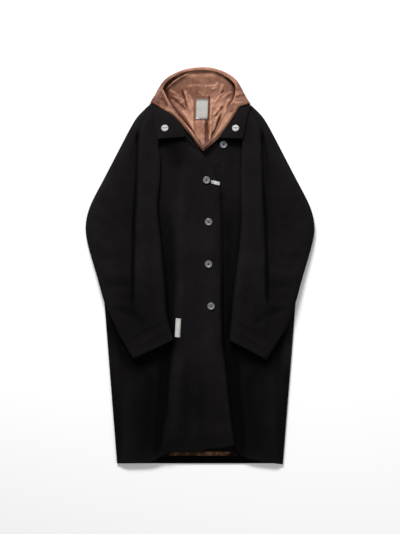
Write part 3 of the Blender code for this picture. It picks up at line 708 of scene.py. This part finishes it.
# ---------- painted shade: how much shade is painted into the cloth's colour
class HeightTable:
    """Heights of the top of some sheets on an even grid, in millimetres."""

    def __init__(self, sheets, box, step):
        skin = Skin(*sheets)
        self.left, self.low, right, high = box
        self.step = step
        xs, ys = np.arange(self.left, right, step), np.arange(self.low, high, step)
        tops = ((skin.at(x, y)[0] for x in xs) for y in ys)
        self.heights = np.array([
            [0 if top is None else top.z / MM for top in row] for row in tops])

    def blurred(self, breadth):
        """The heights' mean over a soft square of the given breadth."""
        reach = max(breadth / self.step, 0.8)
        half = int(2 * reach) + 1
        weights = np.exp(-(np.arange(-half, half + 1) / reach) ** 2)
        weights /= weights.sum()
        table = self.heights
        for axis in (0, 1):
            table = np.apply_along_axis(np.convolve, axis, table, weights, mode="same")
        return table

    def depth(self, table, points, full, least):
        """How far points lie below a table: 1 at full millimetres, and least if they stand out."""
        x, y, z = points
        column = np.clip((x - self.left) / self.step, 0, table.shape[1] - 1.001)
        row = np.clip((y - self.low) / self.step, 0, table.shape[0] - 1.001)
        r, c = row.astype(int), column.astype(int)
        fr, fc = row - r, column - c
        around = ((table[r, c] * (1 - fc) + table[r, c + 1] * fc) * (1 - fr)
                  + (table[r + 1, c] * (1 - fc) + table[r + 1, c + 1] * fc) * fr)
        return np.clip((around - z) / full, least, 1)


def mark_painted_shade(sheet, share):
    """Give a sheet's points the shade painted into their colour: 0 none, 1 full."""
    layer = sheet.data.attributes.new("shelter", "FLOAT", "POINT")
    layer.data.foreach_set("value", np.clip(share + np.zeros(len(layer.data)), 0, 1))


# Lines, in millimetres, along which shade, and in one place a highlight, is painted into the
# cloth's colour.
HOLLOWS = [
    [(-112, -592), (-103, -449), (-98, -311), (-92, -221), (-86, -146), (-84, -26), (-90, 184),
     (-94, 260)],
    [(126, -592), (112, -449), (101, -311), (91, -221), (86, -146), (86, -26), (90, 184),
     (94, 260)],
]
CUFF_EDGES = [[(-262, -184), (-196, -279), (-86, -226)], [(240, -214), (196, -279), (86, -226)]]
LEAF_EDGES = [[(-128, 379), (-50, 380)], [(58, 381), (128, 381)]]
PANEL_SIDE = [[(56, 205), (56, -130), (66, -300)]]
PANEL_EDGE = [[(67, 196), (67, -80)]]
SLEEVE_PLEAT = [[(189, 390), (198, 150), (203, -110)]]

# Painted shade along lines, a painted highlight where the amount is negative: how much, how broad,
# which lines.
FRONT_SHADE_LINES = [
    (0.24, 15, PANEL_SIDE), (0.86, 33, CUFF_EDGES), (0.7, 10, LEAF_EDGES),
    (0.3, 34, LEAF_EDGES), (0.44, 28, [[(-82, 356), (-66, 320)]]),
    (-0.42, 3.4, [[(50, 285), (61, 293), (70, 306)]]),
]
HOOD_SHADE_LINES = [(0.48, 5, [[(19.5, 446), (20, 358)]]), (0.26, 3, [[(28, 506), (27, 440)]])]
FLAP_SHADE_LINES = [(0.22, 12, [[(-106, 554), (-62, 580)]])]

WOOL_BASE = 0.21  # painted shade of wool that lies level
BACK_SHADE = 0.79  # painted shade that the back adds, which shows only under the fronts
HOOD_BASE = 0.28
STRIP_BASE = 0.67
NYLON_MOST = 0.84  # past this, only the strip's painted shadow under the fronts darkens


def nearness(x, y, lines, breadth):
    """1 on lines of x, y points, falling softly to 0 beyond the breadth."""
    away = np.full(x.shape, 1e6)
    for line in lines:
        for (ax, ay), (bx, by) in zip(line, line[1:]):
            dx, dy = bx - ax, by - ay
            along = np.clip(((x - ax) * dx + (y - ay) * dy) / (dx ** 2 + dy ** 2), 0, 1)
            away = np.minimum(away, np.hypot(x - ax - along * dx, y - ay - along * dy))
    return np.exp(-(away / breadth) ** 2)


def shade_along(x, y, marks):
    return sum(amount * nearness(x, y, lines, breadth) for amount, breadth, lines in marks)


def paint_front_shade(x, y, z, dip, sunk):
    """Painted shade on the fronts beside the panel, under cuffs and collar and at the hem; some
    painted light.
    """
    chest, skirt = eased(y, 110, 230), eased(y, -160, -220)
    deep = dip * (0.34 - 0.18 * chest + 0.36 * skirt) + sunk * (0.36 - 0.18 * chest + 0.34 * skirt)
    deep += 0.12 * eased(z, 29, 16) * (1 - chest) + 0.44 * eased(y, -200, -430)
    hollow = 0.44 * skirt * (1 - 0.45 * eased(y, -430, -540)) + np.where(x > 0, 0.06, -0.04)
    deep += nearness(x, y, HOLLOWS, 24) * hollow * (1 - chest)
    deep += 0.6 * eased(y, -541, -547) * eased(x, 112, 102) * eased(x, 12, 28)
    deep -= 0.6 * eased(y, -80, 60) * nearness(x, y, PANEL_EDGE, 4.5)
    deep -= np.where(x > 0, 0.46, 0.26) * eased(np.abs(x), 240, 270) * eased(y, -330, -270)
    return deep + shade_along(x, y, FRONT_SHADE_LINES)


def paint_wool_shade(sheets, fronts, leaves, back):
    """Shade painted into the wool's colour: darker in hollows and low places, lighter on ridges."""
    table = HeightTable(sheets, (-420, -660, 421, 661), 4)
    near, wide = table.blurred(16), table.blurred(60)
    for sheet in sheets:
        x, y, z = points = (points_of(sheet) / MM).T
        dip = table.depth(near, points, 12, -0.4)
        sunk = table.depth(wide, points, 18, -0.35)
        if sheet in fronts:
            deep = paint_front_shade(x, y, z, dip, sunk)
        elif sheet is back:
            deep = BACK_SHADE
        elif sheet in leaves:
            deep = dip * 0.3 + sunk * 0.3 + 0.02
        else:
            deep = dip * 0.5 + sunk * 0.5 + 0.1 * eased(y, 300, 460) + 0.15
            deep += 0.3 * nearness(np.abs(x), y, SLEEVE_PLEAT, 8) + 0.24 * eased(y, 30, -110)
        mark_painted_shade(sheet, deep + WOOL_BASE)


def paint_hood_shade(hood):
    """Painted shade leaves the nylon's grooves and crown darker and redder; ridges and rims get a
    painted highlight.
    """
    table = HeightTable([hood], (-160, 330, 161, 611), 2)
    x, y, _ = points = (points_of(hood) / MM).T
    deep = (table.depth(table.blurred(5), points, 3, -0.5) * 0.66
            + table.depth(table.blurred(20), points, 16, -0.3) * 0.3)
    crown, right = eased(y, 490, 520), eased(x, 30, 46) * eased(y, 540, 510)
    inside = deep * (1 - 0.5 * right - 0.95 * eased(y, 560, 570)) - 0.18 * right
    inside += crown * (0.16 + 0.1 * eased(x, 20, -60)) + 0.14 * eased(y, 395, 365)
    inside -= 0.4 * eased(y, 564, 574) * (0.7 + 0.5 * waviness(x, y, 9, 2))
    inside += 0.05 * waviness(x, y, 5, 2) - 0.08 * fold_heights(x, y, HOOD_FOLDS, crisp=True)
    inside += shade_along(x, y, HOOD_SHADE_LINES)
    flap = np.empty(len(x), dtype=np.float32)
    hood.data.attributes["flap"].data.foreach_get("value", flap)
    edge = eased(np.hypot(x - 9, (y - 475) * 1.1), 96, 130)
    turned = deep * 0.5 + 0.1 + edge * (0.34 - 0.22 * eased(y, 540, 570))
    turned -= 0.3 * eased(x, 20, 50) * eased(y, 462, 442) + 0.28 * eased(flap, 0.86, 0.98)
    turned += 0.24 * eased(x, -116, -128) * eased(y, 520, 500)
    turned += 0.09 * waviness(x, y, 7, 1) + 0.06 * waviness(x, y, 3.6, 4)
    turned -= 0.09 * fold_heights(x, y, FLAP_FOLDS, crisp=True)
    turned += shade_along(x, y, FLAP_SHADE_LINES)
    deep = np.where(flap > 0.02, turned, inside)
    mark_painted_shade(hood, np.minimum(deep + HOOD_BASE, NYLON_MOST))


def paint_strip_shade(strip):
    """The lining strip is mottled, and gets a painted black shadow where the fronts hang over its
    top and ends.
    """
    x, y, _ = (points_of(strip) / MM).T
    shadowed = np.maximum(eased(y, -559, -555), eased(x, -89, -94))
    shadowed = np.maximum(shadowed, eased(x - (y + 563) * 1.2, 76, 98))
    mottle = 0.12 * waviness(x, y * 2, 13, 1) + 0.14 * waviness(x, y, 5, 2)
    mottle += 0.3 * np.exp(-((x + 19) / 12) ** 2) - 0.26 * np.exp(-((x - 36) / 14) ** 2)
    shown = np.minimum(STRIP_BASE + mottle, NYLON_MOST)
    mark_painted_shade(strip, shown * (1 - shadowed) + 1.1 * shadowed)


# ---------- trims laid on the cloth
class Skin:
    """The faces of finished pieces, to find their height and slope under a place."""

    def __init__(self, *pieces):
        points, faces = [], []
        for piece in pieces:
            first = len(points)
            points += [v.co.copy() for v in piece.data.vertices]
            faces += [[first + i for i in face.vertices] for face in piece.data.polygons]
        self.tree = BVHTree.FromPolygons(points, faces)

    def at(self, x, y, top=200):
        """Point and outward direction of the uppermost face under x, y, in millimetres."""
        point, normal, _, _ = self.tree.ray_cast(Vector((x, y, top)) * MM, Vector((0, 0, -1)))
        if point is not None and normal.z < 0:
            normal = -normal
        return point, normal


def spaced(line, pitch):
    """Places and directions every pitch millimetres along a line of x, y points."""
    places, carried = [], pitch / 2
    for (ax, ay), (bx, by) in zip(line, line[1:]):
        length = math.hypot(bx - ax, by - ay)
        dx, dy = (bx - ax) / length, (by - ay) / length
        while carried < length:
            places.append((ax + dx * carried, ay + dy * carried, dx, dy))
            carried += pitch
        carried -= length
    return places


def add_stitch(bm, point, normal, way, length, thick):
    """One stitch: a slim rounded thread that lies along way on the cloth."""
    along = (way - normal * way.dot(normal)).normalized()
    turn = Matrix((along, normal.cross(along), normal)).transposed().to_4x4()
    size = Matrix.Diagonal((length / 2 * MM, thick / 2 * MM, thick / 2 * MM, 1))
    raised = Matrix.Translation(point + normal * thick * 0.12 * MM)
    bmesh.ops.create_uvsphere(bm, u_segments=6, v_segments=4, radius=1,
                              matrix=raised @ turn @ size)


# Stitches: their pitch, length and thickness in millimetres.
TOPSTITCH = (5, 3.6, 0.9)
COLLAR_STITCH = (4.5, 3.2, 0.8)
LABEL_STITCH = (2.6, 1.9, 0.55)
HOOD_STITCH = (4, 3, 0.7)
BUTTONHOLE_STITCH = (0.9, 2.4, 0.8)

# Rows of stitching, as x, y points in millimetres.
FRONT_RIGHT_SEAMS = [
    [(-240, -563), (-142, -561), (-128, -551), (-110, -528), (-71, -523), (35, -521), (92, -512)],
    [(92, -512), (84, -440), (66, -311), (53, -134), (53, 100), (53, 199), (46, 240), (30, 274),
     (12, 304), (-3, 338)],
]
FRONT_LEFT_SEAMS = [[(240, -563), (150, -560), (132, -552), (122, -540)]]
CUFF_SEAM = [(93, -196), (130, -215), (170, -237), (208, -256)]
COLLAR_SEAMS = {
    "right": [[(-57, 392), (-90, 390), (-122, 386), (-127, 400), (-131, 430), (-136, 452)]],
    "left": [[(70, 389), (96, 387), (122, 387), (126, 400), (130, 430), (134, 450)]],
}
LABEL_SEAMS = {
    "neck_label": [[(-10, 501), (23, 500)], [(-11, 443), (22, 442)]],
    "label_bar": [[(35.3, 257), (33.2, 249)], [(58.8, 251), (56.7, 243)]],
    "label_tab": [[(-71, -157.5), (-59, -157)], [(-73.5, -210), (-61.5, -209.5)]],
}
BUTTONHOLE = (-15, 13, 1.6)  # from and to beside the button's middle, and half the opening
CHANNEL_ROWS = slice(6, 26)  # rows of the hood whose flap is broad enough for a channel
CHANNEL_INSET = 9  # how far that lies from the rim


def make_stitches(name, skin, lines, stitch, slot, thread, across=False):
    """Rows of stitches on a piece, along each line or across it."""
    pitch, *size = stitch
    bm = bmesh.new()
    for line in lines:
        for x, y, dx, dy in spaced(line, pitch):
            point, normal = skin.at(x, y)
            if point is not None:
                way = Vector((-dy, dx, 0)) if across else Vector((dx, dy, 0))
                add_stitch(bm, point, normal, way, *size)
    return hand_in(mesh_object(name, bm), slot, thread)


def hood_channel():
    """A line on the hood's flap beside its rim."""
    line = []
    for ox, oy, rx, ry, _ in HOOD_ROWS[CHANNEL_ROWS]:
        share = min(CHANNEL_INSET / math.hypot(ox - rx, oy - ry), 0.7)
        line.append((rx + (ox - rx) * share, ry + (oy - ry) * share))
    return line


def make_sewing(pieces, skins, black, white, copper):
    """All rows of stitches: fronts, cuffs, collar, labels, hood and buttonholes."""
    def sew_wool(name, skin, lines, stitch=TOPSTITCH, across=False):
        make_stitches(name, skin, lines, stitch, "wool", black, across)

    sew_wool("front_right_topstitch", skins["upper"], FRONT_RIGHT_SEAMS)
    sew_wool("front_left_topstitch", skins["under"], FRONT_LEFT_SEAMS)
    for side, sign in (("right", -1), ("left", 1)):
        cuff = [[(x * sign, y) for x, y in CUFF_SEAM]]
        sew_wool(f"cuff_{side}_topstitch", Skin(pieces[f"sleeve_{side}"]), cuff)
        sew_wool(f"collar_{side}_topstitch", Skin(pieces[f"leaf_{side}"]), COLLAR_SEAMS[side],
                 COLLAR_STITCH)
    for node, lines in LABEL_SEAMS.items():
        make_stitches(f"{node}_stitches", Skin(pieces[node]), lines, LABEL_STITCH, "label", white)
    make_stitches("hood_channel_stitches", skins["inside"], [hood_channel()], HOOD_STITCH,
                  "nylon", copper)
    start, stop, half = BUTTONHOLE
    for number, (x, y) in enumerate(BUTTONS[:4], 1):
        rows = [[(x + start, y + side), (x + stop, y + side)] for side in (-half, half)]
        sew_wool(f"buttonhole_{number}", skins["upper"], rows, BUTTONHOLE_STITCH, across=True)


LABEL_LIFT = (0.75, 1.75)  # a label's two faces above the cloth under it


def lay_label(name, node, skin, tape):
    """A label: its fine shell, lowered or raised onto the creased cloth under it."""
    label = shell_from(name, node, 3)
    points = points_of(label)
    middle = points[:, 2].mean()
    for i, (x, y, z) in enumerate(points):
        under, _ = skin.at(x / MM, y / MM)
        if under is not None:
            points[i, 2] = under.z + LABEL_LIFT[int(z >= middle)] * MM
    set_points(label, points)
    smooth_heights(label, 6)
    hand_in(label, "label", tape, node)
    return label


def smooth_heights(piece, rounds):
    """Even out a sheet's heights, as a stiffer cloth bridges the creases under it."""
    bm = bmesh.new()
    bm.from_mesh(piece.data)
    for _ in range(rounds):
        bmesh.ops.smooth_vert(bm, verts=bm.verts, factor=0.5, use_axis_x=False, use_axis_y=False,
                              use_axis_z=True)
    bm.to_mesh(piece.data)
    bm.free()


# Middles of the buttons: four down the front, then the one at the neck.
BUTTONS = [(19.5, 257.5), (25.5, 132.5), (25.5, 6), (33, -119.5), (70.5, 364)]
# A button's radius and height, from its top's middle over its rim to its underside.
BUTTON_PROFILE = [
    (0, 1.9), (4.2, 1.9), (6.4, 2), (7.3, 2.5), (7.9, 3.2), (8.8, 3.6), (9.8, 3.5), (10.6, 2.9),
    (11, 2), (10.8, 1.1), (10, 0.4), (8.6, 0), (0, 0),
]
BUTTON_STEPS = 48
HOLES = [(2.5 * math.cos(turn), 2.5 * math.sin(turn))
         for turn in (math.tau * (i + 0.5) / 4 for i in range(4))]
HOLE_RADIUS, DRILL_DEPTH = 1.05 * MM, 12 * MM
THREAD_ASIDE = 0.45  # each pair of holes has two threads, this far from its line
THREAD_STEP, THREAD_STITCH = 0.62, (1.3, 0.75)
THREAD_TOP, THREAD_SAG = 2.3, 0.022


def make_button(number, x, y, skin, horn, thread):
    """A button turned from its profile, its four holes cut through, and its threads."""
    node = f"button_{number}"
    slopes = (skin.at(x + dx, y + dy)[1] for dx in (-9, 0, 9) for dy in (-9, 0, 9))
    normal = sum(slopes, Vector()).normalized()
    stand = (Matrix.Translation(frame_seat(node, normal))
             @ normal.to_track_quat("Z", "Y").to_matrix().to_4x4())
    bm = bmesh.new()
    line = [bm.verts.new((r * MM, 0, z * MM)) for r, z in BUTTON_PROFILE]
    edges = [bm.edges.new(pair) for pair in zip(line, line[1:])]
    bmesh.ops.spin(bm, geom=line + edges, cent=(0, 0, 0), axis=(0, 0, 1), angle=math.tau,
                   steps=BUTTON_STEPS, use_merge=True)
    bmesh.ops.remove_doubles(bm, verts=bm.verts, dist=0.01 * MM)
    bmesh.ops.recalc_face_normals(bm, faces=bm.faces)
    bmesh.ops.transform(bm, matrix=stand, verts=bm.verts)
    button = mesh_object(f"{node}_turned", bm)
    holes = bmesh.new()
    for hx, hy in HOLES:
        bmesh.ops.create_cone(holes, cap_ends=True, segments=16, radius1=HOLE_RADIUS,
                              radius2=HOLE_RADIUS, depth=DRILL_DEPTH,
                              matrix=stand @ Matrix.Translation((hx * MM, hy * MM, 0)))
    drill = mesh_object(f"{node}_drill", holes)
    cut = button.modifiers.new("holes", "BOOLEAN")
    cut.operation, cut.object = "DIFFERENCE", drill
    apply_modifiers(button)
    bpy.data.objects.remove(drill, do_unlink=True)
    hand_in(button, "button", horn, node)
    sewn, turned = bmesh.new(), stand.to_3x3()
    for (ax, ay), (bx, by) in (HOLES[::2], HOLES[1::2]):
        way = Vector((bx - ax, by - ay, 0)).normalized()
        for aside in (-THREAD_ASIDE, THREAD_ASIDE):
            for i in range(-4, 5):
                spot = way * i * THREAD_STEP + Vector((-way.y, way.x, 0)) * aside
                spot.z = THREAD_TOP - THREAD_SAG * i * i
                add_stitch(sewn, stand @ (spot * MM), turned @ Vector((0, 0, 1)), turned @ way,
                           *THREAD_STITCH)
    hand_in(mesh_object(f"{node}_thread", sewn), "button", thread)


def frame_seat(node, normal):
    """Where the CAD button's underside has its middle."""
    points = [v.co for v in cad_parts[node].data.vertices]
    middle = sum(points, Vector()) / len(points)
    low = min((p - middle).dot(normal) for p in points)
    return middle + normal * low


OVAL_MIDDLES = {"right": (-105, 412), "left": (106, 412)}
OVAL_REACH, OVAL_STEP = 10.5, 0.95  # half the oval's height, and from stitch to stitch


def make_collar_marks(leaves, thread):
    """A plain oval of satin stitch on each collar leaf, each row sewn in two halves."""
    for leaf, (side, (middle_x, middle_y)) in zip(leaves, OVAL_MIDDLES.items()):
        skin = Skin(leaf)
        bm = bmesh.new()
        for i in range(-10, 11):
            reach = OVAL_REACH * math.sqrt(1 - (i / 10.6) ** 2)
            for half in (-0.48, 0.48):
                point, normal = skin.at(middle_x + i * OVAL_STEP, middle_y + half * reach)
                if point is not None:
                    add_stitch(bm, point + normal * 0.3 * MM, normal, Vector((0.12, 1, 0)),
                               reach * 1.08, 1.25)
        hand_in(mesh_object(f"collar_{side}_satin_oval", bm), "label", thread)


def main():
    make_camera()
    make_light()
    make_floor()
    wool = napped_wool("black_napped_wool")
    white_tape, grey_tape = (woven_tape(name, *tones) for name, tones in TAPES.items())
    horn = grey_horn()
    black, white, copper = (sewing_thread(name, *tones) for name, tones in THREADS.items())
    back = make_back(napped_wool("black_wool_back", seam=True))
    front_right = make_front_right(wool)
    front_left = make_front_left(wool)
    sleeves = {"right": make_sleeve("right", -1, wool), "left": make_sleeve("left", 1, wool)}
    leaves = make_collar(wool)
    hood = make_hood(copper_nylon("copper_nylon", 0.22, HOOD_GROOVE_SHADE))
    strip = make_lining(copper_nylon("copper_lining", 0.04, LINING_GROOVE_SHADE))
    cloth = [back, front_right, front_left, *sleeves.values(), *leaves]
    paint_wool_shade(cloth, (front_right, front_left), leaves, back)
    paint_hood_shade(hood)
    paint_strip_shade(strip)
    skins = {"upper": Skin(front_right), "under": Skin(front_left), "inside": Skin(hood)}
    pieces = {f"sleeve_{side}": sleeve for side, sleeve in sleeves.items()}
    pieces.update(zip(("leaf_right", "leaf_left"), leaves))
    for node, on, under, tape, size in (
            ("neck_label", "hood", "inside", grey_tape, (0.038, 0.063)),
            ("label_bar", "front_right", "upper", white_tape, (0.027, 0.011)),
            ("label_tab", "front_right", "upper", white_tape, (0.016, 0.058))):
        pieces[node] = lay_label(f"{node}_tape", node, skins[under], tape)
    for number, (x, y) in enumerate(BUTTONS, 1):
        make_button(number, x, y, skins["under" if number == 5 else "upper"], horn, black)
    make_collar_marks(leaves, white)
    make_sewing(pieces, skins, black, white, copper)


main()
